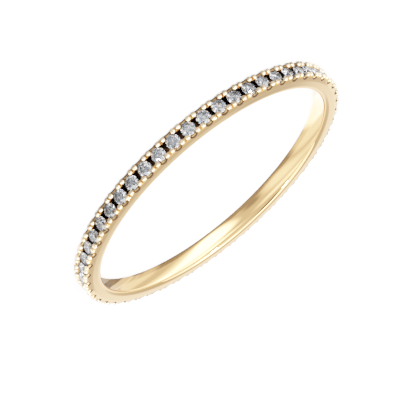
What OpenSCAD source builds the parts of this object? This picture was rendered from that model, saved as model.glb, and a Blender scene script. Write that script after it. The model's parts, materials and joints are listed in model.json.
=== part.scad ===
// Eternity ring: a narrow band with a full row of small round brilliants.
// An open channel runs round the band. Each stone rests on the ledges of the two
// channel walls, and four beads raised from the walls hold it.
// Z runs along the finger, and the ring lies on the plane z = 0.

/* [Band] */
// Inside diameter, across the finger
bore_d = 17; // [15:0.1:20]
// Width of the band along the finger
band_w = 1.3; // [1.2:0.05:1.6]
// Thickness of the metal between the finger and the channel
floor_t = 0.45; // [0.3:0.05:0.8]
// Rounding of the two edges of the bore
bore_edge_r = 0.2; // [0.1:0.02:0.3]
// Height of the flat part of each side, from the bore
side_flat_h = 0.7; // [0.5:0.05:0.8]
// How far each side leans in between its flat part and its rim
side_lean = 0.07; // [0.02:0.01:0.1]

/* [Stones] */
// Diameter of a stone at its girdle
stone_d = 0.88; // [0.8:0.02:1]
// Least clear distance between two neighbouring stones
stone_gap = 0.23; // [0.2:0.01:0.4]
// Clear distance between a stone's point and the channel floor
culet_gap = 0.05; // [0.02:0.01:0.1]
// Width of the table, as a share of the stone's diameter
table_share = 0.56; // [0.5:0.01:0.62]
// Height of the crown, as a share of the stone's diameter
crown_share = 0.15; // [0.12:0.01:0.17]
// Thickness of the girdle, as a share of the stone's diameter
girdle_share = 0.03; // [0.02:0.01:0.05]
// Depth of the pavilion, as a share of the stone's diameter
pavilion_share = 0.43; // [0.41:0.01:0.45]

/* [Setting] */
// Width of the ledge that each wall keeps under a stone
ledge_w = 0.14; // [0.1:0.01:0.2]
// Clear distance between a stone and its seat
seat_gap = 0.02; // [0.01:0.005:0.03]
// Height of the walls above the girdle
wall_over_girdle = 0.1; // [0.08:0.01:0.12]
// Width of the notch in each wall that shows a stone's edge
notch_w = 0.44; // [0.36:0.02:0.46]
// Depth of that notch
notch_depth = 0.14; // [0.1:0.01:0.16]
// Width of the cut between the beads of two neighbouring stones
split_w = 0.1; // [0.06:0.01:0.12]
// Depth of that cut
split_depth = 0.06; // [0.04:0.01:0.1]
// Diameter of a bead
bead_d = 0.26; // [0.22:0.01:0.28]
// Height of a bead above the walls
bead_rise = 0.15; // [0.12:0.01:0.17]
// Clear distance between a bead and the crown that it holds
bead_gap = 0.04; // [0.02:0.01:0.05]
// Direction of a bead from the middle of its stone, from the run of the row
bead_angle = 50; // [45:1:55]

/* [Hidden] */
// Smoothness of the large rounds and of the small ones
round_fn = 360;
small_fn = 40;
// How far a cutting shape reaches past what it cuts
overcut = 1;

// Heights of one stone, measured up from its point
stone_r = stone_d / 2;
pavilion_h = pavilion_share * stone_d;
girdle_h = girdle_share * stone_d;
crown_h = crown_share * stone_d;
girdle_top = pavilion_h + girdle_h;
table_r = table_share * stone_r;
// Where the star facets and the lower facets end, as shares of the girdle radius
star_share = 0.77;
lower_share = 0.25;

// Distances from the ring's axis
bore_r = bore_d / 2;
floor_r = bore_r + floor_t;
culet_r = floor_r + culet_gap;
rim_r = culet_r + girdle_top + wall_over_girdle;
lean_r = bore_r + side_flat_h;
bead_r = rim_r + bead_rise - bead_d / 2;

// The row of stones
girdle_r = culet_r + pavilion_h;
stone_count = floor(180 / asin((stone_d + stone_gap) / (2 * girdle_r)));
pitch_angle = 360 / stone_count;
channel_w = stone_d - 2 * ledge_w;

// A seat follows the pavilion and the girdle at seat_gap from them
seat_r = stone_r + seat_gap;
pavilion_angle = atan(pavilion_h / stone_r);
seat_point = culet_r - seat_gap / cos(pavilion_angle);
seat_shoulder = seat_point + seat_r * tan(pavilion_angle);

// A bead clears the slope of the crown by bead_gap
crown_angle = atan(crown_h / (stone_r - table_r));
bead_over_girdle = bead_r - (culet_r + girdle_top);
bead_reach = stone_r + (bead_d / 2 + bead_gap - bead_over_girdle * cos(crown_angle)) / sin(crown_angle);

// Radius of the round cutter that leaves a notch of this width and depth
function cutter_r(width, depth) = (width * width / 4 + depth * depth) / (2 * depth);

// Points of a regular ring, starting at an angle
function ring_points(count, radius, height, start) =
    [for (i = [0:count - 1])
        let (a = start + i * 360 / count)
        [radius * cos(a), radius * sin(a), height]];

// Places its children at the stone with this number, with Z pointing outwards
module at_stone(number) {
    rotate([0, 0, number * pitch_angle])
        translate([0, 0, band_w / 2])
            rotate([0, 90, 0])
                children();
}

// Cross-section of the band: x is the distance from the axis, y runs along the finger
module band_section() {
    difference() {
        polygon([
            [bore_r, 0],
            [lean_r, 0],
            [rim_r, side_lean],
            [rim_r, band_w - side_lean],
            [lean_r, band_w],
            [bore_r, band_w]
        ]);
        bore_edge_cut();
        translate([0, band_w])
            mirror([0, 1])
                bore_edge_cut();
        translate([floor_r, (band_w - channel_w) / 2])
            square([rim_r - floor_r + overcut, channel_w]);
    }
}

// What is taken off one edge of the bore to round it
module bore_edge_cut() {
    difference() {
        translate([bore_r - overcut, -overcut])
            square(bore_edge_r + overcut);
        translate([bore_r + bore_edge_r, bore_edge_r])
            circle(r = bore_edge_r, $fn = small_fn);
    }
}

// Seat for one stone: a cone under the pavilion and a round wall from the girdle up
module seat_cut() {
    rotate_extrude($fn = small_fn)
        polygon([
            [0, seat_point],
            [seat_r, seat_shoulder],
            [seat_r, rim_r + overcut],
            [0, rim_r + overcut]
        ]);
}

// Round-bottomed cut across both walls, at an angle round the ring
module wall_cut(angle, width, depth) {
    radius = cutter_r(width, depth);
    rotate([0, 0, angle])
        translate([rim_r - depth + radius, 0, -overcut])
            cylinder(r = radius, h = band_w + 2 * overcut, $fn = small_fn);
}

// The four beads of one stone
module beads() {
    for (side = [-1, 1], end = [-1, 1])
        translate([side * bead_reach * sin(bead_angle), end * bead_reach * cos(bead_angle), bead_r])
            sphere(d = bead_d, $fn = small_fn);
}

// One round brilliant: table, stars, kites, upper facets, girdle, lower facets and mains
module brilliant() {
    star_r = star_share * stone_r;
    star_h = girdle_top + crown_h * (stone_r - star_r * cos(22.5)) / (stone_r - table_r);
    lower_r = lower_share * stone_r;
    lower_h = pavilion_h * lower_share * cos(22.5);
    table = 0;
    star = 8;
    upper = 16;
    under = 32;
    lower = 48;
    culet = 56;
    points = concat(
        ring_points(8, table_r, girdle_top + crown_h, 0),
        ring_points(8, star_r, star_h, 22.5),
        ring_points(16, stone_r, girdle_top, 0),
        ring_points(16, stone_r, pavilion_h, 0),
        ring_points(8, lower_r, lower_h, 22.5),
        [[0, 0, 0]]
    );
    eighth = [for (i = [0:7])
        let (next = (i + 1) % 8, last = (i + 7) % 8, a = 2 * i, b = 2 * i + 1, c = (2 * i + 2) % 16)
        each [
            [table + i, table + next, star + i],
            [table + i, star + i, upper + a, star + last],
            [star + i, upper + b, upper + a],
            [star + i, upper + c, upper + b],
            [upper + a, upper + b, under + b, under + a],
            [upper + b, upper + c, under + c, under + b],
            [under + a, under + b, lower + i],
            [under + b, under + c, lower + i],
            [under + a, lower + i, culet, lower + last]
        ]];
    polyhedron(points, concat([[for (i = [7:-1:0]) table + i]], eighth));
}

// Gold band with its channel walls, seats, notches and beads, all one piece of metal
module band() {
    color([0.88, 0.76, 0.58]) {
        difference() {
            rotate_extrude($fn = round_fn)
                band_section();
            for (number = [0:stone_count - 1]) {
                at_stone(number)
                    seat_cut();
                wall_cut(number * pitch_angle, notch_w, notch_depth);
                wall_cut((number + 0.5) * pitch_angle, split_w, split_depth);
            }
        }
        for (number = [0:stone_count - 1])
            at_stone(number)
                beads();
    }
}

// The row of brilliants
module stones() {
    color([0.84, 0.88, 0.93])
        for (number = [0:stone_count - 1])
            at_stone(number)
                translate([0, 0, culet_r])
                    brilliant();
}

band();
stones();
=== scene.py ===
# %% [markdown]
# # An eternity ring, finished in Blender
#
# The ring is a narrow band of pale gold with a full row of small round brilliants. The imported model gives
# the sizes. This lesson makes three pieces round it: the band with its cut channel, the beads that hold the
# stones, and the row of stones. All lengths are in metres, and the ring lies on the floor at z = 0.

# %% Load the frame
import json
import math

import bmesh
import bpy
import numpy as np
from mathutils import Matrix, Vector


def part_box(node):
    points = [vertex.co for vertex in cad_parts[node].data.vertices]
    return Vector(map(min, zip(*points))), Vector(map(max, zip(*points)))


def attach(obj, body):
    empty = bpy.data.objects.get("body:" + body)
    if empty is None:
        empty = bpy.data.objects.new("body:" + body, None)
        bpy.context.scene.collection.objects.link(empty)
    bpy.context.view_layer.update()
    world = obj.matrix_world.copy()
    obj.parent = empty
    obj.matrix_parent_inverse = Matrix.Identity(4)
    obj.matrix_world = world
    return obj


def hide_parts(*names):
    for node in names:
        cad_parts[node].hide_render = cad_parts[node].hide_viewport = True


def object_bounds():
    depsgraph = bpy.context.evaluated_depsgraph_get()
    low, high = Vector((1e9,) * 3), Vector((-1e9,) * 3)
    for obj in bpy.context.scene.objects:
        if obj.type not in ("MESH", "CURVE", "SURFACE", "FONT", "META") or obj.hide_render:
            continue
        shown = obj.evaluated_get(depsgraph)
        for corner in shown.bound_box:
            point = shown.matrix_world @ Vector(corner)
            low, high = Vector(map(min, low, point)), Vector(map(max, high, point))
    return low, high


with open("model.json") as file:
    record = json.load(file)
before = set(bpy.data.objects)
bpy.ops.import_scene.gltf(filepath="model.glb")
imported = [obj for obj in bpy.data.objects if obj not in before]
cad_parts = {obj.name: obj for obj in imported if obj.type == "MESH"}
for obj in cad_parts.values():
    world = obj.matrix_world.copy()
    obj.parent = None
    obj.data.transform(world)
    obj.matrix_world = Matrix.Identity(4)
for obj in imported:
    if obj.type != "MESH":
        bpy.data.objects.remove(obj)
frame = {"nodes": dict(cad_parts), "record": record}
cad_low, cad_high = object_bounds()
cad_size = [round(1000 * side, 3) for side in cad_high - cad_low]
print("frame holds", sorted(frame["nodes"]), "and measures", cad_size, "mm")

# %% [markdown]
# ## Sizes read from the frame
#
# A ring is ruled by two things: the finger and the stone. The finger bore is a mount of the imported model,
# and its record gives the radius and the length of the straight wall. What the bore leaves of the width is
# shared by its two rounded edges.

# %% Measure the band
MM = 0.001
bore_mount = next(m for m in frame["record"]["mounts"] if m["name"] == "finger_bore")
bore_r = bore_mount["dims"]["r_mm"] * MM
band_low, band_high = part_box("band")
band_w = band_high.z - band_low.z
middle = band_low.z + band_w / 2
bore_edge_r = (band_w - bore_mount["dims"]["length_mm"] * MM) / 2
bead_top = band_high.x
print("bore radius", bore_r / MM, "band width", round(band_w / MM, 3), "mm")
print("rounded edge of the bore", round(bore_edge_r / MM, 3), "mm")

# %% [markdown]
# The stones can be counted on their own mesh. Each one has a single lowest point, its culet, so the number
# of culets is the number of stones. Reading this here, and not typing it in, keeps the looks and the solids
# together.

# %% Measure the row of stones
culet_reach = 1e-3 * MM
stone_points = np.array([v.co for v in frame["nodes"]["stones"].data.vertices])
stone_radii = np.hypot(stone_points[:, 0], stone_points[:, 1])
culet_r = stone_radii.min()
culets = stone_points[stone_radii < culet_r + culet_reach]
culet_angles = np.degrees(np.arctan2(culets[:, 1], culets[:, 0]))
stone_count = len(np.unique(np.round(culet_angles, 1) % 360))
pitch = 2 * math.pi / stone_count
stone_low, stone_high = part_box("stones")
stone_d = stone_high.z - stone_low.z
print("stones", stone_count, "of diameter", round(stone_d / MM, 3), "mm")
print("points of the stones at", round(culet_r / MM, 3), "mm from the axis")

# %% [markdown]
# ## Sizes of the setting
#
# The cutting of the setting follows the stone. The channel leaves a ledge under each stone's edge, the seat
# has the slope of the stone's underside, and the walls rise a little over the girdle. These are the few
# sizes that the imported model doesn't hand over as a mount or a box.

# %% Sizes of the stone and its walls
stone_r = stone_d / 2
pavilion_h = 0.43 * stone_d
girdle_h = 0.03 * stone_d
crown_h = 0.15 * stone_d
culet_gap = 0.05 * MM
wall_over_girdle = 0.1 * MM
side_flat_h = 0.7 * MM
side_lean = 0.07 * MM
ledge_w = 0.14 * MM
floor_r = culet_r - culet_gap
rim_r = culet_r + pavilion_h + girdle_h + wall_over_girdle
lean_r = bore_r + side_flat_h
channel_w = stone_d - 2 * ledge_w
print("channel", round(channel_w / MM, 3), "mm wide, rim at", round(rim_r / MM, 3), "mm from the axis")

# %% [markdown]
# A round file cuts a notch in each wall beside every stone, so that light reaches its edge. A thin cut
# parts the beads of neighbouring stones, and four beads stand at the corners of each stone. The notches are
# 0.015 mm deeper here than in the solids, so that they show in a picture of this size.

# %% Sizes of the cuts and the beads
seat_gap = 0.02 * MM
notch_w = 0.44 * MM
notch_depth = 0.155 * MM
split_w = 0.1 * MM
split_depth = 0.06 * MM
bead_d = 0.26 * MM
bead_stand_off = 0.125 * MM
bead_r = bead_top - bead_d / 2
bead_reach = stone_r + bead_stand_off
bead_angle = math.radians(50)
print("beads up to", round(bead_top / MM, 3), "mm from the axis")

# %% [markdown]
# ## Helpers for meshes
#
# A profile turned about an axis makes most of what a goldsmith's lathe and burs make: the band, the seat
# cutter and the bead. One helper turns a list of points. A full turn is welded to itself, and a part turn
# is closed with two flat ends, so either result is a closed solid that a boolean can use.

# %% Turn a profile


def linked(name, mesh):
    """New object with this mesh, in the scene."""
    made = bpy.data.objects.new(name, mesh)
    bpy.context.scene.collection.objects.link(made)
    return made


def turned(name, profile, start, end, steps, closed_loop=False):
    """Mesh object of a profile of (radius, height) points turned about Z from start to end."""
    bm = bmesh.new()
    rings = []
    for i in range(steps + (0 if closed_loop else 1)):
        angle = start + (end - start) * i / steps
        rings.append([bm.verts.new((r * math.cos(angle), r * math.sin(angle), z)) for r, z in profile])
    count = len(profile)
    pairs = list(zip(rings, rings[1:])) + ([(rings[-1], rings[0])] if closed_loop else [])
    for near, far in pairs:
        for j in range(count):
            k = (j + 1) % count
            bm.faces.new((near[j], far[j], far[k], near[k]))
    if not closed_loop:
        bm.faces.new(rings[0])
        bm.faces.new(reversed(rings[-1]))
    bmesh.ops.remove_doubles(bm, verts=bm.verts, dist=1e-9)
    bmesh.ops.recalc_face_normals(bm, faces=bm.faces)
    mesh = bpy.data.meshes.new(name)
    bm.to_mesh(mesh)
    bm.free()
    return linked(name, mesh)


# %% [markdown]
# Modifiers are instructions, and the finished piece has to be a plain mesh. The next helper takes the
# evaluated mesh of an object, which has all its modifiers in it, and drops the object that carried them.
# The one after it gives the points of a rounded corner.

# %% Bake a modifier and round a corner


def baked(maker, name):
    """A new plain object with the evaluated mesh of maker, which is then removed."""
    bpy.context.view_layer.update()
    evaluated = maker.evaluated_get(bpy.context.evaluated_depsgraph_get())
    mesh = bpy.data.meshes.new_from_object(evaluated)
    mesh.name = name
    made = linked(name, mesh)
    bpy.data.objects.remove(maker)
    return made


def arc(centre_x, centre_y, radius, start, end, steps):
    """Points of a round stretch, with angles in degrees."""
    angles = [math.radians(start + (end - start) * i / steps) for i in range(steps + 1)]
    return [(centre_x + radius * math.cos(a), centre_y + radius * math.sin(a)) for a in angles]


# %% [markdown]
# ## One link of the band
#
# The band repeats once for each stone, so only one link of it is made: the stretch from the middle of one
# gap to the middle of the next. It starts as a short length of rolled band with its channel already milled.
# A buff never leaves a side quite flat or an edge quite sharp: the side swells by a thousandth of a
# millimetre near the bore, and the edges are soft. Both show in how the reflections bend.

# %% Section of the milled band
soft_edge = 0.03 * MM
side_crown = 0.0011 * MM
bore_edge_steps = 8
rim_edge_steps = 5
rim_edge_start = -75
# Height above the bore in millimetres, and the share of the swelling that is left there
side_swelling = [(0.27, 0.4), (0.34, 0.1), (0.42, 0.0)]
# Steps along the side and inwards from it, both in soft edges, where the side begins to lean
lean_bend = [(-2, 0), (-1, 0), (1, 0.14), (2, 0.3)]


def half_section():
    """Lower half of the section, from the bore round the side to the middle of the channel floor."""
    wall_z = band_w / 2 - channel_w / 2
    bore_edge = arc(
        bore_r + bore_edge_r, bore_edge_r + side_crown, bore_edge_r, 180, 270, bore_edge_steps
    )
    rim_outer = arc(rim_r - soft_edge, side_lean + soft_edge, soft_edge, rim_edge_start, 0, rim_edge_steps)
    return [
        *bore_edge,
        *[(bore_r + height * MM, share * side_crown) for height, share in side_swelling],
        *[(lean_r + along * soft_edge, inwards * soft_edge) for along, inwards in lean_bend],
        *rim_outer,
        (rim_r, wall_z),
        (floor_r, wall_z),
    ]


lower_half = half_section()
upper_half = [(r, band_w - z) for r, z in reversed(lower_half)]
section = lower_half + upper_half
link_steps = 10
link = turned("link", section, -pitch / 2, pitch / 2, link_steps)
print("section points", len(section), "link faces", len(link.data.polygons))

# %% [markdown]
# A setter cuts the seat with a bur of the stone's own shape. The cutter here is the same solid of
# revolution: a cone under the stone, a straight wall at the girdle, and a flare at the mouth, which leaves
# a small bright chamfer.

# %% Cutter for the seat
chamfer = 0.02 * MM
seat_mouth_reach = 0.3 * MM
seat_sides = 48


def seat_cutter():
    slope = pavilion_h / stone_r
    seat_r = stone_r + seat_gap
    point = culet_r - seat_gap * math.hypot(1, slope)
    mouth = rim_r - chamfer
    above = rim_r + seat_mouth_reach
    profile = [
        (0, point),
        (seat_r, point + seat_r * slope),
        (seat_r, mouth),
        (seat_r + above - mouth, above),
        (0, above),
    ]
    cutter = turned("seat_cutter", profile, 0, 2 * math.pi, seat_sides, closed_loop=True)
    outwards = Matrix.Rotation(math.pi / 2, 4, "Y")
    cutter.data.transform(Matrix.Translation((0, 0, middle)) @ outwards)
    return cutter


print("seat", round(2 * (stone_r + seat_gap) / MM, 3), "mm wide with a chamfer of", chamfer / MM, "mm")

# %% [markdown]
# The notches and the thin cuts between beads are made with round files laid across both walls. Each file
# flares at its ends, because a worn edge is never sharp, and its radius follows from the width and the
# depth of the cut.

# %% Cutters for the notches
past_side = 0.2 * MM
flare_depth = 0.045 * MM
notch_sides = 48
split_sides = 24


def file_radius(width, depth):
    """Radius of the round file that leaves a cut of this width and depth."""
    return (width * width / 4 + depth * depth) / (2 * depth)


def wall_cutter(name, angle, width, depth, sides):
    radius = file_radius(width, depth)
    flared = radius + flare_depth + past_side
    profile = [
        (0, -past_side),
        (flared, -past_side),
        (radius, flare_depth),
        (radius, band_w - flare_depth),
        (flared, band_w + past_side),
        (0, band_w + past_side),
    ]
    cutter = turned(name, profile, 0, 2 * math.pi, sides, closed_loop=True)
    centre = rim_r - depth + radius
    cutter.data.transform(Matrix.Translation((centre * math.cos(angle), centre * math.sin(angle), 0)))
    return cutter


notch_file_r = file_radius(notch_w, notch_depth)
print("file for the notches", round(notch_file_r / MM, 3), "mm in radius")

# %% [markdown]
# The cuts are booleans on the one link, in the order in which a setter makes them. The exact solver is
# chosen, because the cutters meet the walls at grazing angles. Half a thin cut falls on each end of the
# link, and the two halves meet when the links are laid side by side.

# %% Cut the link
cutters = [
    seat_cutter(),
    wall_cutter("notch_cutter", 0, notch_w, notch_depth, notch_sides),
    wall_cutter("split_cutter_a", -pitch / 2, split_w, split_depth, split_sides),
    wall_cutter("split_cutter_b", pitch / 2, split_w, split_depth, split_sides),
]
for cutter in cutters:
    cut = link.modifiers.new(cutter.name, "BOOLEAN")
    cut.operation = "DIFFERENCE"
    cut.solver = "EXACT"
    cut.object = cutter
link = baked(link, "link_cut")
for cutter in cutters:
    bpy.data.objects.remove(cutter)
print("cut link has", len(link.data.vertices), "points and", len(link.data.polygons), "faces")

# %% [markdown]
# The link is still a closed block. Its two end faces would lie inside the finished band, so they are
# deleted, and the open rims of neighbouring links are welded when the links are laid round the ring.

# %% Open the ends of the link
on_plane = 1e-5 * MM
same_point = 0.0005 * MM
crease_angle = math.radians(20)


def lies_on_end(face, side):
    """True for a face that lies wholly in the cut plane at one end of the link."""
    normal = Vector((-math.sin(side * pitch / 2), math.cos(side * pitch / 2), 0))
    return all(abs(v.co.dot(normal)) < on_plane for v in face.verts)


bm = bmesh.new()
bm.from_mesh(link.data)
ends = [face for face in bm.faces if lies_on_end(face, -1) or lies_on_end(face, 1)]
bmesh.ops.delete(bm, geom=ends, context="FACES")
bmesh.ops.remove_doubles(bm, verts=bm.verts, dist=same_point)
bm.to_mesh(link.data)
bm.free()
link.data.shade_smooth()
link.data.set_sharp_from_angle(angle=crease_angle)
print("end faces removed", len(ends), "faces left", len(link.data.polygons))

# %% [markdown]
# ## Helpers for node trees
#
# Geometry Nodes repeat a unit far more cheaply than a loop of copies. A tree is built from many small
# nodes, so a few helpers keep the building short. The first two start a tree with named inputs, and add one
# node with its links.

# %% Start a tree and wire a node


def new_tree(name, inputs):
    """Geometry tree with a geometry in and out and the named inputs, given as (name, socket type)."""
    tree = bpy.data.node_groups.new(name, "GeometryNodeTree")
    tree.interface.new_socket(name="Geometry", in_out="INPUT", socket_type="NodeSocketGeometry")
    for label, kind in inputs:
        tree.interface.new_socket(name=label, in_out="INPUT", socket_type="NodeSocket" + kind)
    tree.interface.new_socket(name="Geometry", in_out="OUTPUT", socket_type="NodeSocketGeometry")
    return tree, tree.nodes.new("NodeGroupInput"), tree.nodes.new("NodeGroupOutput")


def wired(tree, kind, settings=None, **links):
    """A node of this kind, with its settings, and inputs linked or set by socket name, or i and number."""
    node = tree.nodes.new(kind)
    for key, value in (settings or {}).items():
        setattr(node, key, value)
    for key, value in links.items():
        by_number = key[0] == "i" and key[1:].isdigit()
        socket = node.inputs[int(key[1:]) if by_number else key.replace("_", " ")]
        if isinstance(value, bpy.types.NodeSocket):
            tree.links.new(value, socket)
        else:
            socket.default_value = value
    return node


# %% [markdown]
# Two more helpers add a sum and a random number, and the last one puts a finished tree on an object. A
# modifier's inputs are set by the identifiers of their sockets and not by their names, so it looks the
# identifiers up.

# %% Add maths and chance, and run a tree


def maths(tree, operation, first, second=0.0):
    """Output of a Math node."""
    return wired(tree, "ShaderNodeMath", {"operation": operation}, i0=first, i1=second).outputs[0]


def chance(tree, low, high, seed, index):
    """A random float for each index, the same on every run."""
    node = wired(
        tree, "FunctionNodeRandomValue", {"data_type": "FLOAT"},
        i2=low, i3=high, i7=index, i8=seed,
    )
    return node.outputs[1]


def run_tree(maker, tree, values):
    """Puts the tree on an object as a modifier and sets its inputs."""
    modifier = maker.modifiers.new(tree.name, "NODES")
    modifier.node_group = tree
    identifiers = {s.name: s.identifier for s in tree.interface.items_tree if s.in_out == "INPUT"}
    for name, value in values.items():
        modifier[identifiers[name]] = value


# %% [markdown]
# ## A tree that lays a unit round the axis
#
# One tree serves the links of the band and the stones. A unit is made with X pointing outwards, and the
# tree turns each copy to its place. It can also spin the copy about its own X axis and tilt it a little,
# both at random from a fixed seed, because no setter lines up the facets of one stone with those of the
# next.

# %% Build the tree


def round_the_axis():
    tree, given, result = new_tree(
        "round_the_axis",
        [("Count", "Int"), ("Row Radius", "Float"), ("Row Height", "Float"), ("Spin", "Float"),
         ("Tilt", "Float"), ("Seed", "Int"), ("Weld", "Float"), ("Material", "Material")],
    )
    value = given.outputs
    index = wired(tree, "GeometryNodeInputIndex").outputs[0]
    step = maths(tree, "DIVIDE", 2 * math.pi, value["Count"])
    angle = maths(tree, "MULTIPLY", index, step)
    x = maths(tree, "MULTIPLY", maths(tree, "COSINE", angle), value["Row Radius"])
    y = maths(tree, "MULTIPLY", maths(tree, "SINE", angle), value["Row Radius"])
    place = wired(tree, "ShaderNodeCombineXYZ", X=x, Y=y, Z=value["Row Height"])
    less_spin = maths(tree, "MULTIPLY", value["Spin"], -1.0)
    less_tilt = maths(tree, "MULTIPLY", value["Tilt"], -1.0)
    other_seed = maths(tree, "ADD", value["Seed"], 1.0)
    third_seed = maths(tree, "ADD", value["Seed"], 2.0)
    spin = chance(tree, less_spin, value["Spin"], value["Seed"], index)
    tilt = chance(tree, less_tilt, value["Tilt"], other_seed, index)
    sway = chance(tree, less_tilt, value["Tilt"], third_seed, index)
    turn = wired(tree, "ShaderNodeCombineXYZ", X=spin, Y=tilt, Z=maths(tree, "ADD", angle, sway))
    points = wired(tree, "GeometryNodePoints", Count=value["Count"], Position=place.outputs[0])
    copies = wired(
        tree, "GeometryNodeInstanceOnPoints",
        Points=points.outputs[0], Instance=value["Geometry"], Rotation=turn.outputs[0],
    )
    real = wired(tree, "GeometryNodeRealizeInstances", Geometry=copies.outputs[0])
    welded = wired(
        tree, "GeometryNodeMergeByDistance", Geometry=real.outputs[0], Distance=value["Weld"]
    )
    painted = wired(
        tree, "GeometryNodeSetMaterial", Geometry=welded.outputs[0], Material=value["Material"]
    )
    tree.links.new(painted.outputs[0], result.inputs[0])
    return tree


round_tree = round_the_axis()
print("tree", round_tree.name, "with", len(round_tree.nodes), "nodes")

# %% [markdown]
# ## Materials: shared marks of polishing
#
# Polished gold is never a perfect mirror. Under a loupe it shows hair-fine rubbing marks that follow the
# work, and broad, faint clouds where a buff has pressed more or less. One node group makes both as values,
# and the metals that use it set their own strengths.

# %% Group of polishing marks
cloud_detail = 3.0
cloud_grain = 0.55
# The hairs are noise squeezed across the axis, so that they run along the finger
hair_stretch = (60000.0, 60000.0, 9000.0)
hair_detail = 2.0
hair_grain = 0.6


def new_material(name):
    material = bpy.data.materials.new(name)
    material.use_nodes = True
    shader = material.node_tree.nodes["Principled BSDF"]
    return material, material.node_tree, shader


def shader_group(name, inputs, outputs):
    """Shader node group with the named inputs, given as (name, socket type), and float outputs."""
    group = bpy.data.node_groups.new(name, "ShaderNodeTree")
    for label, kind in inputs:
        group.interface.new_socket(name=label, in_out="INPUT", socket_type="NodeSocket" + kind)
    for label in outputs:
        group.interface.new_socket(name=label, in_out="OUTPUT", socket_type="NodeSocketFloat")
    return group, group.nodes.new("NodeGroupInput").outputs, group.nodes.new("NodeGroupOutput").inputs


def polish_marks_group():
    group, given, result = shader_group(
        "polish_marks",
        [("Vector", "Vector"), ("Roughness", "Float"), ("Spread", "Float"), ("Cloud Scale", "Float")],
        ["Roughness", "Height"],
    )
    clouds = wired(
        group, "ShaderNodeTexNoise", Vector=given["Vector"], Scale=given["Cloud Scale"],
        Detail=cloud_detail, Roughness=cloud_grain,
    )
    hair_place = wired(
        group, "ShaderNodeVectorMath", {"operation": "MULTIPLY"}, i0=given["Vector"], i1=hair_stretch
    )
    hairs = wired(
        group, "ShaderNodeTexNoise", Vector=hair_place.outputs[0], Scale=1.0,
        Detail=hair_detail, Roughness=hair_grain,
    )
    centred = maths(group, "SUBTRACT", clouds.outputs[0], 0.5)
    spread = maths(group, "MULTIPLY", centred, given["Spread"])
    group.links.new(maths(group, "ADD", given["Roughness"], spread), result["Roughness"])
    group.links.new(hairs.outputs[0], result["Height"])
    return group


polish_marks = polish_marks_group()
print("group", polish_marks.name, "with", len(polish_marks.nodes), "nodes")

# %% [markdown]
# ### Where a cut was made
#
# The side notches are cut after the band is polished, and no buff gets close to their edges again. A thin
# dark line is painted along them, partly polishing dust that stays there and partly painted shade of the
# notch, which draws each notch as a small dark U on the bright side of the ring. The group finds it from the
# distance to the axis of the round file that made the nearest notch, so it needs no texture image and fits
# any number of stones.

# %% Group for the line along a notch
notch_axis_r = rim_r - notch_depth + notch_file_r
# The dark line along each notch is partly polishing dust and partly painted shade.
dust_and_shade_width = 0.09 * MM
dust_and_shade_core = 0.6 * dust_and_shade_width
side_begins = stone_r + 0.1 * MM


def from_axis(tree, x, y):
    """Distance from the axis of the ring."""
    flat = wired(tree, "ShaderNodeCombineXYZ", X=x, Y=y).outputs[0]
    return wired(tree, "ShaderNodeVectorMath", {"operation": "LENGTH"}, i0=flat).outputs["Value"]


# Mask of the notch line: painted shade of the notch, partly dust.
def notch_dust_and_shade_group():
    group, given, result = shader_group("notch_dust_and_shade", [("Vector", "Vector")], ["Mask"])
    x, y, z = wired(group, "ShaderNodeSeparateXYZ", Vector=given["Vector"]).outputs
    turn = maths(group, "ARCTAN2", y, x)
    nearest = maths(group, "ROUND", maths(group, "DIVIDE", turn, pitch))
    off = maths(group, "SUBTRACT", turn, maths(group, "MULTIPLY", nearest, pitch))
    distance = from_axis(group, x, y)
    outwards = maths(group, "MULTIPLY", distance, maths(group, "COSINE", off))
    out = maths(group, "SUBTRACT", outwards, notch_axis_r)
    along = maths(group, "MULTIPLY", distance, maths(group, "SINE", off))
    out_squared = maths(group, "MULTIPLY", out, out)
    along_squared = maths(group, "MULTIPLY", along, along)
    reach = maths(group, "SQRT", maths(group, "ADD", out_squared, along_squared))
    line = wired(group, "ShaderNodeMapRange", Value=reach)
    line.inputs["From Min"].default_value = notch_file_r + dust_and_shade_width
    line.inputs["From Max"].default_value = notch_file_r + dust_and_shade_core
    from_middle = maths(group, "ABSOLUTE", maths(group, "SUBTRACT", z, middle))
    on_side = maths(group, "GREATER_THAN", from_middle, side_begins)
    group.links.new(maths(group, "MULTIPLY", line.outputs[0], on_side), result["Mask"])
    return group


notch_dust_and_shade = notch_dust_and_shade_group()
print("dust line", round(dust_and_shade_width / MM, 3), "mm wide round a file of", round(notch_file_r / MM, 3), "mm")

# %% [markdown]
# ## Gold
#
# Pale yellow gold reflects most of the red light and about a quarter of the blue, and that is all its
# colour: a metal has no paint under the shine. Deep in the channel the casting is left rough, because no
# polishing tool gets there, and it is painted near black as shade, so the colour and the roughness change
# with the distance from the axis. The dark line along the notches, partly dust and partly painted shade,
# isn't metal at all, so it lowers Metallic too, and it stays dark at any angle. The beads get the band's
# gold painted lighter, a painted highlight.

# %% Colours and depths of the gold
gold_colour = (0.87, 0.545, 0.25, 1)
# Painted highlight: the beads are the band's gold painted lighter.
lit_bead_colour = (1.0, 0.77, 0.5, 1)
# Painted shade: the raw metal deep in the channel is painted near black.
channel_shade_colour = (0.05, 0.025, 0.012, 1)
# Painted shade along the notches, partly real polishing dust.
dust_and_shade_colour = (0.035, 0.018, 0.01, 1)
polished_above = rim_r - 0.09 * MM
raw_and_shaded_below = rim_r - 0.19 * MM
channel_half = stone_r + 0.02 * MM
channel_bottom = floor_r - 0.01 * MM
raw_roughness = 0.3
dust_and_shade_roughness = 0.5
dust_and_shade_gloss = 0.1
cloud_scale = 900.0
hair_strength = 0.01
hair_height = 0.002 * MM
print("polished above", round(polished_above / MM, 3), "mm and raw below", round(raw_and_shaded_below / MM, 3), "mm")

# %% [markdown]
# One function makes both golds, so that the beads and the band differ only in what is handed to it. The
# masks are chains of Math nodes on Object coordinates, which stay with the ring in every view.

# %% Make the two golds


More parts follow.
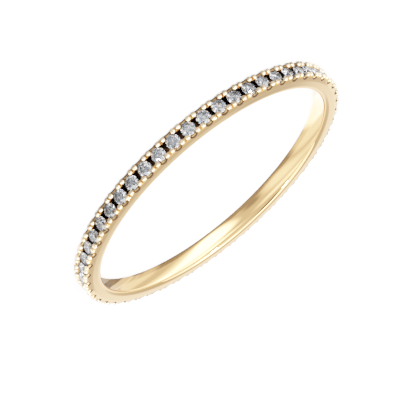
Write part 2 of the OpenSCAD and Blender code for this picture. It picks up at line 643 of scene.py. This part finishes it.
def mixed(tree, mask, first, second):
    """Colour that runs from first to second with the mask."""
    mix = wired(tree, "ShaderNodeMix", {"data_type": "RGBA"}, Factor=mask, i6=first, i7=second)
    return mix.outputs[2]


def raw_and_shaded_mask(tree, place):
    """One on the raw metal with painted shade deep in the channel, none on the polished metal."""
    x, y, z = wired(tree, "ShaderNodeSeparateXYZ", Vector=place).outputs
    distance = from_axis(tree, x, y)
    depth = wired(tree, "ShaderNodeMapRange", Value=distance)
    depth.inputs["From Min"].default_value = polished_above
    depth.inputs["From Max"].default_value = raw_and_shaded_below
    off_middle = maths(tree, "ABSOLUTE", maths(tree, "SUBTRACT", z, middle))
    in_channel = maths(tree, "LESS_THAN", off_middle, channel_half)
    outside_bore = maths(tree, "GREATER_THAN", distance, channel_bottom)
    return maths(tree, "MULTIPLY", maths(tree, "MULTIPLY", depth.outputs[0], in_channel), outside_bore)


def gold_material(name, main_colour, roughness, spread, dust_and_shade):
    """Gold with this roughness and its spread, and a share of the notch line of dust and painted shade."""
    material, tree, shader = new_material(name)
    place = wired(tree, "ShaderNodeTexCoord").outputs["Object"]
    marks = wired(tree, "ShaderNodeGroup", {"node_tree": polish_marks}, Vector=place)
    marks.inputs["Roughness"].default_value = roughness
    marks.inputs["Spread"].default_value = spread
    marks.inputs["Cloud Scale"].default_value = cloud_scale
    # The notch line darkens the gold as painted shade, partly dust.
    line = wired(tree, "ShaderNodeGroup", {"node_tree": notch_dust_and_shade}, Vector=place)
    # Painted shade in the channel, on metal that is really left rough there.
    raw_and_shaded = raw_and_shaded_mask(tree, place)
    dusty_and_shaded = maths(tree, "MULTIPLY", line.outputs[0], dust_and_shade)
    colour = mixed(tree, dusty_and_shaded, mixed(tree, raw_and_shaded, main_colour, channel_shade_colour), dust_and_shade_colour)
    tree.links.new(colour, shader.inputs["Base Color"])
    raw_part = maths(tree, "MULTIPLY", raw_and_shaded, raw_roughness)
    dust_and_shade_part = maths(tree, "MULTIPLY", dusty_and_shaded, dust_and_shade_roughness)
    unpolished = maths(tree, "ADD", raw_part, dust_and_shade_part)
    rough = maths(tree, "ADD", marks.outputs["Roughness"], unpolished)
    tree.links.new(rough, shader.inputs["Roughness"])
    bump = wired(tree, "ShaderNodeBump", Height=marks.outputs["Height"])
    bump.inputs["Strength"].default_value = hair_strength
    bump.inputs["Distance"].default_value = hair_height
    tree.links.new(bump.outputs[0], shader.inputs["Normal"])
    tree.links.new(maths(tree, "SUBTRACT", 1.0, dusty_and_shaded), shader.inputs["Metallic"])
    shader.inputs["Specular IOR Level"].default_value = dust_and_shade_gloss
    return material


polished_gold = gold_material("polished_gold", gold_colour, roughness=0.035, spread=0.02, dust_and_shade=0.96)
# The beads' gold is painted lighter than the band's, a painted highlight.
lit_bead_gold = gold_material("lit_bead_gold", lit_bead_colour, roughness=0.33, spread=0.03, dust_and_shade=0.0)
print("gold materials", polished_gold.name, lit_bead_gold.name)

# %% [markdown]
# ## Diamond
#
# A brilliant bends light more than any other clear stone, so rays that enter its table run round inside and
# come back out of the crown. The path tracer does that by itself once the index is 2.42 and the facets are
# truly flat. Stones under a millimetre break the light into specks too fine for a picture of this size, so
# a fine speckle in their colour stands for it.

# %% Clear diamond
diamond_index = 2.42
speck_scale = 7500.0
speck_low = 0.45
speck_high = 0.58
# Painted light and shade: the dark and light specks stand for the stone's sparkle.
dark_speck = (0.15, 0.185, 0.24, 1)
light_speck = (0.94, 0.91, 0.89, 1)
water_scale = 700.0
most_rubbed = 0.02


def diamond_material():
    material, tree, shader = new_material("clear_diamond")
    shader.inputs["Transmission Weight"].default_value = 1.0
    shader.inputs["IOR"].default_value = diamond_index
    place = wired(tree, "ShaderNodeTexCoord").outputs["Object"]
    water = wired(tree, "ShaderNodeTexNoise", Vector=place, Scale=water_scale, Detail=1.0)
    specks = wired(tree, "ShaderNodeTexNoise", Vector=place, Scale=speck_scale, Detail=1.0)
    painted_sparkle = wired(tree, "ShaderNodeMapRange", Value=specks.outputs[0])
    painted_sparkle.inputs["From Min"].default_value = speck_low
    painted_sparkle.inputs["From Max"].default_value = speck_high
    tint = mixed(tree, painted_sparkle.outputs[0], dark_speck, light_speck)
    tree.links.new(tint, shader.inputs["Base Color"])
    rubbed = wired(tree, "ShaderNodeMapRange", Value=water.outputs[0])
    rubbed.inputs["To Min"].default_value = 0.0
    rubbed.inputs["To Max"].default_value = most_rubbed
    tree.links.new(rubbed.outputs[0], shader.inputs["Roughness"])
    return material


clear_diamond = diamond_material()
print("diamond", clear_diamond.name, "bends light with the index", diamond_index)

# %% [markdown]
# ## The band
#
# The links are laid round the ring and welded, which closes the band. A boolean leaves long thin faces, and
# their normals would make the polish look crumpled. The Weighted Normal modifier lets the large faces rule,
# and it keeps the edges that were marked as sharp.

# %% Lay the links round the ring
link_weld = 0.002 * MM
run_tree(link, round_tree, {"Count": stone_count, "Weld": link_weld, "Material": polished_gold})
even_shine = link.modifiers.new("even shine", "WEIGHTED_NORMAL")
even_shine.keep_sharp = True
even_shine.weight = 80
band = baked(link, "gold_band")
print("gold band has", len(band.data.polygons), "faces")

# %% [markdown]
# ## The beads
#
# A bead is a curl of the wall's own metal, raised with a graver and pressed round with a cupped tool. It
# leans over the stone. The unit is a turned dome with X pointing outwards. It is wider than the plain ball
# of the solids, because pressed metal spreads over the stone's edge. There are more than two hundred beads,
# so the dome is kept under a hundred faces.

# %% One bead
dome = [
    (0.0, 0.13), (0.056, 0.124), (0.106, 0.106), (0.145, 0.076),
    (0.168, 0.04), (0.176, 0.0), (0.09, -0.12), (0.0, -0.12),
]
bead_sides = 14
bead = turned("bead", [(r * MM, z * MM) for r, z in dome], 0, 2 * math.pi, bead_sides, closed_loop=True)
bead.data.transform(Matrix.Rotation(math.pi / 2, 4, "Y"))
print("one bead has", len(bead.data.polygons), "faces")

# %% [markdown]
# A second tree puts four beads round each stone. The number of a bead says all: every four of them share a
# stone, even and odd ones take the two walls, and the first and second pair take the two ends. Their size
# and lean vary a little at random, because each is raised by hand.

# %% The tree that sets the beads


def beads_round_stones():
    tree, given, result = new_tree(
        "beads_round_stones",
        [("Stones", "Int"), ("Bead Radius", "Float"), ("Along", "Float"), ("Across", "Float"),
         ("Middle", "Float"), ("Lean", "Float"), ("Vary", "Float"), ("Seed", "Int"),
         ("Material", "Material")],
    )
    value = given.outputs
    index = wired(tree, "GeometryNodeInputIndex").outputs[0]
    stone_number = maths(tree, "FLOOR", maths(tree, "DIVIDE", index, 4.0))
    angle = maths(tree, "MULTIPLY", stone_number, maths(tree, "DIVIDE", 2 * math.pi, value["Stones"]))
    odd = maths(tree, "MODULO", index, 2.0)
    side = maths(tree, "SUBTRACT", maths(tree, "MULTIPLY", odd, 2.0), 1.0)
    half = maths(tree, "FLOOR", maths(tree, "DIVIDE", maths(tree, "MODULO", index, 4.0), 2.0))
    end = maths(tree, "SUBTRACT", maths(tree, "MULTIPLY", half, 2.0), 1.0)
    along = maths(tree, "MULTIPLY", end, value["Along"])
    across = maths(tree, "MULTIPLY", side, value["Across"])
    local = wired(tree, "ShaderNodeCombineXYZ", X=value["Bead Radius"], Y=along, Z=across)
    placed = wired(
        tree, "ShaderNodeVectorRotate", {"rotation_type": "Z_AXIS"}, Vector=local.outputs[0], Angle=angle
    )
    rise = wired(tree, "ShaderNodeCombineXYZ", Z=value["Middle"]).outputs[0]
    lifted = wired(
        tree, "ShaderNodeVectorMath", {"operation": "ADD"}, i0=placed.outputs[0], i1=rise
    )
    less = maths(tree, "SUBTRACT", 1.0, value["Vary"])
    more = maths(tree, "ADD", 1.0, value["Vary"])
    next_seed = maths(tree, "ADD", value["Seed"], 1.0)
    lean = maths(tree, "MULTIPLY", value["Lean"], chance(tree, less, more, value["Seed"], index))
    turn = wired(
        tree, "ShaderNodeCombineXYZ",
        Y=maths(tree, "MULTIPLY", side, lean),
        Z=maths(tree, "SUBTRACT", angle, maths(tree, "MULTIPLY", end, lean)),
    )
    size = chance(tree, less, 1.0, next_seed, index)
    count = maths(tree, "MULTIPLY", value["Stones"], 4.0)
    points = wired(tree, "GeometryNodePoints", Count=count, Position=lifted.outputs[0])
    copies = wired(
        tree, "GeometryNodeInstanceOnPoints", Points=points.outputs[0], Instance=value["Geometry"],
        Rotation=turn.outputs[0], Scale=size,
    )
    real = wired(tree, "GeometryNodeRealizeInstances", Geometry=copies.outputs[0])
    painted = wired(
        tree, "GeometryNodeSetMaterial", Geometry=real.outputs[0], Material=value["Material"]
    )
    tree.links.new(painted.outputs[0], result.inputs[0])
    return tree


bead_tree = beads_round_stones()
print("tree", bead_tree.name, "with", len(bead_tree.nodes), "nodes")

# %% [markdown]
# The lean and the variation are small, so that each bead still covers its corner of the stone. The places
# come from the measured stone, and the tree is baked into a plain mesh as the band was.

# %% Set the beads
bead_lean = math.radians(12)
bead_vary = 0.12
bead_seed = 5
run_tree(bead, bead_tree, {
    "Stones": stone_count, "Bead Radius": bead_r, "Along": bead_reach * math.cos(bead_angle),
    "Across": bead_reach * math.sin(bead_angle), "Middle": middle, "Lean": bead_lean,
    "Vary": bead_vary, "Seed": bead_seed, "Material": lit_bead_gold,
})
beads = baked(bead, "setting_beads")
beads.data.shade_smooth()
print("beads have", len(beads.data.polygons), "faces")

# %% [markdown]
# ## The stone
#
# A brilliant is cut by grinding flats on a round blank, and the mesh is made the same way: a cylinder is
# sliced by one plane for each facet. The planes meet in points as a cutter makes them meet, and the girdle
# is left with its real scalloped edge, which a hand-typed list of corners would not give.

# %% Slice a blank
plane_reach = 1e-5


def sliced(bm, point, normal):
    """Cuts away what lies in front of the plane and closes the cut with one flat facet."""
    cut = bmesh.ops.bisect_plane(
        bm, geom=bm.verts[:] + bm.edges[:] + bm.faces[:], dist=plane_reach,
        plane_co=point, plane_no=normal, clear_outer=True,
    )
    edges = [e for e in cut["geom_cut"] if isinstance(e, bmesh.types.BMEdge) and e.is_boundary]
    if edges:
        bmesh.ops.contextual_create(bm, geom=edges)


def facet_ring(bm, count, turn, reach, height, slope):
    """Cuts a ring of facets. Each passes the distance reach from the axis at this height, and slopes."""
    for i in range(count):
        angle = math.radians(turn) + i * 2 * math.pi / count
        out = Vector((math.cos(angle), math.sin(angle), 0))
        up = math.copysign(1, slope)
        normal = out * math.sin(abs(slope)) + Vector((0, 0, up * math.cos(slope)))
        sliced(bm, out * reach + Vector((0, 0, height)), normal)


# %% [markdown]
# The slopes are not typed in. They follow from the table, the crown and the depth, and from where the small
# facets end: a star reaches from the table towards the girdle, and a lower facet from the girdle nearly to
# the point.

# %% Cut one brilliant
# How far from the axis the table, the stars and the lower facets end, as shares of the diameter
table_share = 0.28
star_share = 0.385
lower_share = 0.125
mains = 8
star_turn = 180 / mains
pair_turn = 90 / mains
blank_sides = 64
facet_weld = 2e-4


def brilliant(name):
    """A round brilliant of diameter 1 with its point at z = 0 and its table up."""
    pavilion, girdle, crown = pavilion_h / stone_d, girdle_h / stone_d, crown_h / stone_d
    top = pavilion + girdle
    eighth, sixteenth = math.cos(math.pi / mains), math.cos(math.pi / (2 * mains))
    kite = math.atan(crown / (0.5 - table_share))
    main = math.atan(pavilion / 0.5)
    star_h = (0.5 - star_share * eighth) * math.tan(kite)
    star = math.atan((crown - star_h) / (star_share - table_share * eighth))
    upper = math.atan(star_h / (sixteenth * (0.5 - star_share)))
    lower_h = (0.5 - lower_share * eighth) * math.tan(main)
    lower = math.atan(lower_h / (sixteenth * (0.5 - lower_share)))
    bm = bmesh.new()
    bmesh.ops.create_cone(
        bm, cap_ends=True, segments=blank_sides, radius1=0.5, radius2=0.5, depth=2,
        matrix=Matrix.Translation((0, 0, top)),
    )
    sliced(bm, (0, 0, top + crown), (0, 0, 1))
    facet_ring(bm, mains, 0, 0.5, top, kite)
    facet_ring(bm, mains, star_turn, table_share * eighth, top + crown, star)
    for turn in (-pair_turn, pair_turn):
        facet_ring(bm, mains, turn, 0.5 * sixteenth, top, upper)
    facet_ring(bm, mains, 0, 0.5, pavilion, -main)
    for turn in (-pair_turn, pair_turn):
        facet_ring(bm, mains, turn, 0.5 * sixteenth, pavilion, -lower)
    bmesh.ops.remove_doubles(bm, verts=bm.verts, dist=facet_weld)
    bmesh.ops.recalc_face_normals(bm, faces=bm.faces)
    mesh = bpy.data.meshes.new(name)
    bm.to_mesh(mesh)
    bm.free()
    return linked(name, mesh)


stone = brilliant("stone")
print("one stone has", len(stone.data.polygons), "faces")

# %% [markdown]
# The stone is cut at a diameter of 1, because slicing is safer on a shape of that size than on one of less
# than a millimetre. Then it is scaled, turned outwards and laid round the ring. The facets stay flat
# shaded.

# %% Lay the row of stones
stone_spin = math.radians(22.5)
stone_tilt = math.radians(1.0)
stone_seed = 11
stone.data.transform(Matrix.Rotation(math.pi / 2, 4, "Y") @ Matrix.Scale(stone_d, 4))
run_tree(stone, round_tree, {
    "Count": stone_count, "Row Radius": culet_r, "Row Height": middle, "Spin": stone_spin,
    "Tilt": stone_tilt, "Seed": stone_seed, "Weld": 0.0, "Material": clear_diamond,
})
stones = baked(stone, "brilliant_row")
print("row of stones has", len(stones.data.polygons), "faces")

# %% [markdown]
# ## Floor
#
# The ring lies on its side on a plain pale floor. A product photographer overexposes the table until it is
# white, and at the same time wants it darker where the metal mirrors it. The Light Path node does both
# here: the camera sees a bright table, and every other ray sees a much darker one. This holds wherever the
# camera stands.

# %% Floor
floor_half = 1.5
floor_corners = [(x * floor_half, y * floor_half, 0) for x, y in ((-1, -1), (1, -1), (1, 1), (-1, 1))]
mirrored_tone = (0.14, 0.14, 0.14, 1)
table_tone = (0.68, 0.68, 0.68, 1)
floor_mesh = bpy.data.meshes.new("floor")
floor_mesh.from_pydata(floor_corners, [], [(0, 1, 2, 3)])
floor = linked("floor", floor_mesh)
floor_paint, floor_tree, floor_shader = new_material("pale_floor")
seen = wired(floor_tree, "ShaderNodeLightPath").outputs["Is Camera Ray"]
floor_tree.links.new(mixed(floor_tree, seen, mirrored_tone, table_tone), floor_shader.inputs["Base Color"])
floor_shader.inputs["Roughness"].default_value = 0.9
floor_shader.inputs["Specular IOR Level"].default_value = 0.1
floor_shader.inputs["Emission Color"].default_value = (1, 1, 1, 1)
floor.data.materials.append(floor_paint)
print("floor", 2 * floor_half, "m wide")

# %% [markdown]
# ### Pools of light
#
# A polished ring shows little but what lies round it. In the photograph the bore mirrors brighter and
# darker places round it, so the table gets soft round pools of light here. Each has its place from the
# ring's axis and its two radii, all in millimetres, and a brightness. A brightness below zero takes light
# away. The picture itself shows the table as plain white.

# %% Places of the pools
inside_pools = [
    (0.0, 0.0, 7.8, 7.95, 0.7),
    (-1.55, -6.7, 0.7, 1.7, 6.0),
    (-2.2, -6.4, 0.8, 1.9, 1.5),
    (-0.75, -4.75, 0.3, 0.85, 4.5),
    (2.45, -6.65, 0.4, 1.5, 1.4),
    (0.95, -5.3, 0.2, 0.9, 2.0),
    (5.1, -5.5, 0.7, 1.7, 1.1),
    (7.0, -3.9, 1.0, 2.1, 3.6),
    (8.1, -1.6, 0.9, 1.7, 2.5),
    (-5.7, -5.5, 0.3, 1.2, 0.9),
    (-7.0, -4.1, 0.45, 0.75, 1.0),
    (-6.45, -4.7, 0.25, 0.65, 0.8),
    (-8.2, -2.0, 0.4, 0.8, 0.4),
    (-7.75, -3.0, 0.25, 0.7, -0.8),
    (0.9, -7.5, 0.2, 0.9, -0.7),
]
outside_pools = [
    (1.5, 13.0, 1.5, 5.0, 0.75),
    (-10.4, 6.4, 1.2, 4.2, 2.2),
    (-5.0, 11.8, 0.7, 3.5, 0.5),
    (9.3, 8.6, 0.8, 4.2, 0.9),
    (-12.0, 2.0, 1.0, 3.2, 5.0),
    (12.0, 2.4, 1.0, 3.4, 4.5),
    (0.0, -13.0, 1.5, 5.0, 1.2),
    (-9.5, -9.0, 1.4, 4.5, 1.2),
    (9.5, -9.0, 1.4, 4.5, 1.2),
]
print("pools of light", len(inside_pools), "inside the ring and", len(outside_pools), "outside")

# %% [markdown]
# Small lamps over the floor would do the same, but they are hard to sample and leave grain. As emission of
# the floor itself the pools cost nothing, and they are left out of light sampling, because only mirrors
# look at them.

# %% Pools of light on the floor
table_glow = 1.2
floor_place = wired(floor_tree, "ShaderNodeTexCoord").outputs["Object"]


def soft_step(tree, value, low, high, at_low, at_high):
    """Smooth run from one level to another while the value goes from low to high."""
    step = wired(tree, "ShaderNodeMapRange", {"interpolation_type": "SMOOTHSTEP"}, Value=value)
    step.inputs["From Min"].default_value = low
    step.inputs["From Max"].default_value = high
    step.inputs["To Min"].default_value = at_low
    step.inputs["To Max"].default_value = at_high
    return step.outputs[0]


def pool(x, y, inner, outer, level):
    """Brightness of a round pool on the floor: level up to the inner radius, none past the outer one."""
    away = wired(
        floor_tree, "ShaderNodeVectorMath", {"operation": "DISTANCE"},
        i0=floor_place, i1=(x * MM, y * MM, 0),
    )
    return soft_step(floor_tree, away.outputs["Value"], outer * MM, inner * MM, 0.0, level)


glow = 0.0
for spot in inside_pools + outside_pools:
    glow = maths(floor_tree, "ADD", pool(*spot), glow)
white_table = maths(floor_tree, "MULTIPLY", seen, table_glow)
unseen = maths(floor_tree, "SUBTRACT", 1.0, seen)
lit = maths(floor_tree, "MULTIPLY", unseen, maths(floor_tree, "MAXIMUM", glow, 0.0))
floor_glow = maths(floor_tree, "ADD", white_table, lit)
floor_tree.links.new(floor_glow, floor_shader.inputs["Emission Strength"])
floor_paint.cycles.emission_sampling = "NONE"
print("floor material has", len(floor_tree.nodes), "nodes")

# %% [markdown]
# ## Camera
#
# The camera keeps the direction that the photograph has to the ring, about 20 degrees above the plane of
# the band. It is rolled, so that the band runs from the lower left to the upper right although the ring
# lies flat. The distance, some eight or nine widths of the ring, decides how much smaller the far side
# looks, and a long lens then lets the ring fill the picture.

# %% Camera
camera_azimuth = 88.80
camera_elevation = 19.585
camera_distance = 165.28 * MM
camera_roll = math.radians(-138.56)
aim = Vector((-0.968 * MM, -0.928 * MM, middle))


def unit_direction(azimuth, elevation):
    """Unit vector towards an azimuth and elevation in degrees."""
    a, e = math.radians(azimuth), math.radians(elevation)
    return Vector((math.cos(a) * math.cos(e), math.sin(a) * math.cos(e), math.sin(e)))


back = unit_direction(camera_azimuth, camera_elevation)
camera_data = bpy.data.cameras.new("camera")
camera_data.lens = 248.9
camera_data.sensor_width = 36
camera_data.clip_start = 0.01
camera = bpy.data.objects.new("camera", camera_data)
camera.rotation_mode = "QUATERNION"
roll = Matrix.Rotation(-camera_roll, 3, "Z").to_quaternion()
camera.rotation_quaternion = back.to_track_quat("Z", "Y") @ roll
camera.location = aim + back * camera_distance
bpy.context.scene.collection.objects.link(camera)
bpy.context.scene.camera = camera
print("camera", round(camera_distance / MM), "mm away with a lens of", round(camera_data.lens, 1), "mm")

# %% [markdown]
# ## Sky of the studio
#
# A pale tent round the ring gives the metal its even tone. Its brightness changes with the height, and it
# does so quickly between 19 and 21 degrees, because the flat side of the far half mirrors that narrow
# strip. A colour ramp holds the steps.

# %% Sky of the studio
sky_levels = [
    (0.0, 2.1), (0.318, 2.3), (0.332, 2.1), (0.336, 1.85), (0.3405, 1.6), (0.3448, 1.4), (0.3483, 1.32),
    (0.3516, 1.28), (0.36, 1.2), (0.42, 1.1), (0.7, 1.0), (0.85, 1.2), (1.0, 1.5),
]
world = bpy.data.worlds.new("studio")
bpy.context.scene.world = world
world.use_nodes = True
sky = world.node_tree
background = sky.nodes["Background"]
direction = wired(sky, "ShaderNodeTexCoord").outputs["Generated"]
sky_height = wired(sky, "ShaderNodeSeparateXYZ", Vector=direction).outputs[2]
sky_ramp = wired(sky, "ShaderNodeValToRGB", Fac=sky_height)
while len(sky_ramp.color_ramp.elements) < len(sky_levels):
    sky_ramp.color_ramp.elements.new(0.5)
for element, (position, level) in zip(sky_ramp.color_ramp.elements, sky_levels):
    element.position = position
    element.color = (level, level, level, 1)
print("sky has", len(sky_levels), "levels")

# %% [markdown]
# Photographers of jewellery hang black cards beside the lens. Without them polished gold has nothing dark
# to mirror, and it looks like plaster. Two dark cards stand near the camera here, and a small grey card
# lies in the strip of sky that the far side mirrors.

# %% Dark cards and a grey card


def card(azimuth, elevation, inner, outer, level):
    """Share of the sky that is left: level inside the card, and all of it outside. Sizes in degrees."""
    toward = tuple(unit_direction(azimuth, elevation))
    facing = wired(sky, "ShaderNodeVectorMath", {"operation": "DOT_PRODUCT"}, i0=direction, i1=toward)
    edge = math.cos(math.radians(outer))
    core = math.cos(math.radians(inner))
    return soft_step(sky, facing.outputs["Value"], edge, core, 1.0, level)


cards = [(116, 22, 12, 25, 0.04), (94, 34, 8, 20, 0.06), (271.5, 20.28, 0.3, 1.1, 0.68)]
left_of_sky = 1.0
for place_and_level in cards:
    left_of_sky = maths(sky, "MULTIPLY", card(*place_and_level), left_of_sky)
sky_level = wired(sky, "ShaderNodeRGBToBW", Color=sky_ramp.outputs[0]).outputs[0]
sky.links.new(maths(sky, "MULTIPLY", sky_level, left_of_sky), background.inputs["Strength"])
background.inputs["Color"].default_value = (1, 1, 1, 1)
print("cards in the sky", len(cards))

# %% [markdown]
# ## Soft lamps
#
# Three large soft lamps light the ring from the sides and from above. Two small strong ones give the facets
# and the beads their sparks. Brightness is given as radiance, which is how bright the lamp looks in a
# mirror, and the power follows from its size.

# %% Soft lamps
lamp_distance = 0.25
# Name, azimuth, elevation, width in metres and radiance
lamps = [
    ("key_lamp", 165, 50, 0.25, 3.4),
    ("fill_lamp", 20, 55, 0.22, 3.4),
    ("top_lamp", 72, 64, 0.27, 3.6),
    ("left_spark", 142, 32, 0.03, 200),
    ("right_spark", 55, 34, 0.03, 200),
]
for name, azimuth, elevation, width, radiance in lamps:
    lamp_data = bpy.data.lights.new(name, "AREA")
    lamp_data.shape = "SQUARE"
    lamp_data.size = width
    lamp_data.energy = radiance * math.pi * width * width
    lamp = bpy.data.objects.new(name, lamp_data)
    toward = unit_direction(azimuth, elevation)
    lamp.location = toward * lamp_distance
    lamp.rotation_mode = "QUATERNION"
    lamp.rotation_quaternion = toward.to_track_quat("Z", "Y")
    bpy.context.scene.collection.objects.link(lamp)
print("lamps", len(lamps), "at", lamp_distance, "m")

# %% [markdown]
# ## Tone of the picture
#
# Bright parts run softly into white, as on film: the curve is 1 - exp(-light). A straight line would cut
# every highlight off at the same white and lose the warmth of the gold just under it. The curve is typed in
# as a few points, up to the light that paper shows as white.

# %% Tone curve
brightest = 6.0
paper_white = 0.965
curve_lights = (0.25, 0.5, 0.75, 1.0, 1.35, 1.75, 2.25, 2.8, 3.35)
tone = bpy.context.scene.view_settings
tone.view_transform = "Standard"
tone.use_curve_mapping = True
curves = tone.curve_mapping
curves.white_level = (brightest, brightest, brightest)
curves.extend = "HORIZONTAL"
tone_curve = curves.curves[3]
for light in curve_lights:
    tone_curve.points.new(light / brightest, min(1, (1 - math.exp(-light)) / paper_white))
tone_curve.points[-1].location = (1, 1)
curves.update()
for light in (0.18, 1.0, 2.0, 3.35):
    print("light", light, "is shown as", round(curves.evaluate(tone_curve, light / brightest), 3))

# %% [markdown]
# ## Hand the pieces to the frame
#
# Nothing moves on a ring, so every piece rides on the root body. The band and its beads together stand for
# the imported band, and the row of stones for the imported stones.

# %% Hand the pieces to the frame
pieces = [(band, "band", "gold"), (beads, "band", "gold"), (stones, "stones", "diamond")]
for piece, node, slot_name in pieces:
    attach(piece, "root")
    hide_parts(node)
